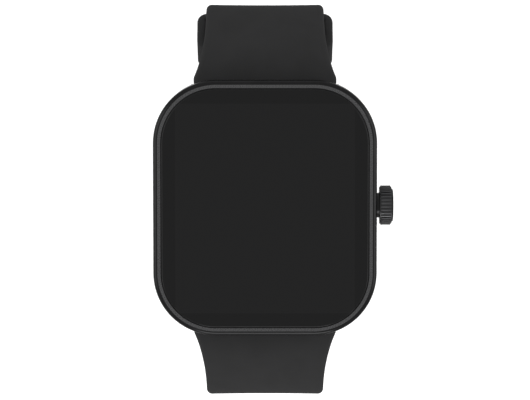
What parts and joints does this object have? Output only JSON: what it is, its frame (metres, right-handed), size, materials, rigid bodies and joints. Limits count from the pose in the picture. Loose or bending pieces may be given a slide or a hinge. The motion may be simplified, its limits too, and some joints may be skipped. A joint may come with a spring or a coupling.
{
  "type": "smartwatch",
  "caption": "Rounded-rectangle smartwatch with black glass, a knurled turning and pressing crown, and a soft two-piece strap buckled into a loop.",
  "frame": {"origin": "middle of the flat wrist-side face of the sensor window", "axes": "+X towards the crown, +Y towards twelve o'clock, +Z out of the display"},
  "size_m": [0.0441, 0.074, 0.0657],
  "materials": {
    "cover_glass": "polished black-backed glass",
    "case_metal": "black anodised, satin side and brushed bevel ring",
    "rear_plastic": "fine matt",
    "sensor_glass": "dark tinted, polished",
    "crown_metal": "black anodised, knurled",
    "strap_rubber": "soft matt moulded rubber",
    "buckle_metal": "black coated, satin",
    "steel": "plain",
    "gold": "gold plated",
    "seal": "matt",
    "black_plastic": "moulded",
    "battery_film": "foil pouch",
    "circuit_board": "solder mask",
    "emitter": "clear resin",
    "display_black": "display film"
  },
  "bodies": {
    "case": {"case_frame": "case_metal", "cover_glass": "cover_glass", "rear_cover": "rear_plastic", "sensor_window": "sensor_glass", "glass_gasket": "seal", "display_panel": "display_black", "display_plate": "steel", "display_flex": "circuit_board", "rear_gasket": "seal", "sensor_board": "circuit_board", "optical_barrier": "black_plastic", "ppg_emitters": "emitter", "photodiodes": "display_black", "charging_contacts": "gold", "charging_magnets": "steel", "inner_chassis": "black_plastic", "battery": "battery_film", "mainboard": "circuit_board", "shield_can": "steel", "board_screws": "steel", "microphone": "black_plastic", "speaker": "black_plastic", "antenna": "gold", "motor_case": "steel", "crown_tube": "steel", "switch_dome": "steel", "crown_switch": "black_plastic", "encoder_sensor": "black_plastic"},
    "motor_mass": {"motor_mass": "steel"},
    "crown_plunger": {"thrust_plate": "steel"},
    "crown": {"crown_head": "crown_metal", "crown_cap": "crown_metal", "crown_stem": "case_metal", "crown_rings": "seal", "crown_clip": "steel", "encoder_wheel": "black_plastic"},
    "upper_strap": {"upper_strap": "strap_rubber", "upper_bar_tube": "steel", "upper_bar_spring": "steel", "buckle_pin": "steel", "fixed_keeper": "strap_rubber"},
    "upper_release": {"upper_release_tip": "steel"},
    "buckle_frame": {"buckle_frame": "buckle_metal"},
    "tongue": {"tongue": "buckle_metal"},
    "free_keeper": {"free_keeper": "strap_rubber"},
    "lower_strap": {"lower_strap": "strap_rubber", "lower_bar_tube": "steel", "lower_bar_spring": "steel"},
    "lower_release": {"lower_release_tip": "steel"}
  },
  "joints": [
    {"name": "crown_press", "type": "slide", "parent": "case", "child": "crown_plunger", "axis": [-1, 0, 0], "range_m": [0, 0.00035], "stiffness_N_per_m": 4000, "deforming": ["switch_dome"]},
    {"name": "crown_turn", "type": "hinge", "parent": "crown_plunger", "child": "crown", "pos_m": [0.02, 0.00025, 0.0054], "axis": [1, 0, 0], "continuous": true},
    {"name": "motor_vibrate", "type": "slide", "parent": "case", "child": "motor_mass", "axis": [0, 0, 1], "range_m": [-0.0003, 0.0003], "stiffness_N_per_m": 360},
    {"name": "upper_strap_hinge", "type": "hinge", "parent": "case", "child": "upper_strap", "pos_m": [0, 0.021, 0.0034], "axis": [1, 0, 0], "range_deg": [0, 40]},
    {"name": "lower_strap_hinge", "type": "hinge", "parent": "case", "child": "lower_strap", "pos_m": [0, -0.021, 0.0034], "axis": [-1, 0, 0], "range_deg": [0, 40], "deforming": ["lower_strap"]},
    {"name": "upper_release_slide", "type": "slide", "parent": "upper_strap", "child": "upper_release", "axis": [-1, 0, 0], "range_m": [0, 0.0014], "stiffness_N_per_m": 300, "deforming": ["upper_bar_spring"]},
    {"name": "lower_release_slide", "type": "slide", "parent": "lower_strap", "child": "lower_release", "axis": [-1, 0, 0], "range_m": [0, 0.0014], "stiffness_N_per_m": 300, "deforming": ["lower_bar_spring"]},
    {"name": "buckle_hinge", "type": "hinge", "parent": "upper_strap", "child": "buckle_frame", "pos_m": [0, 0.00741, -0.04939], "axis": [1, 0, 0], "range_deg": [0, 40]},
    {"name": "tongue_hinge", "type": "hinge", "parent": "buckle_frame", "child": "tongue", "pos_m": [0, 0.00741, -0.04939], "axis": [1, 0, 0], "range_deg": [0, 40]},
    {"name": "keeper_slide", "type": "hinge", "parent": "upper_strap", "child": "free_keeper", "pos_m": [0, 0, -0.01456], "axis": [1, 0, 0], "range_deg": [-11, 16]}
  ]
}
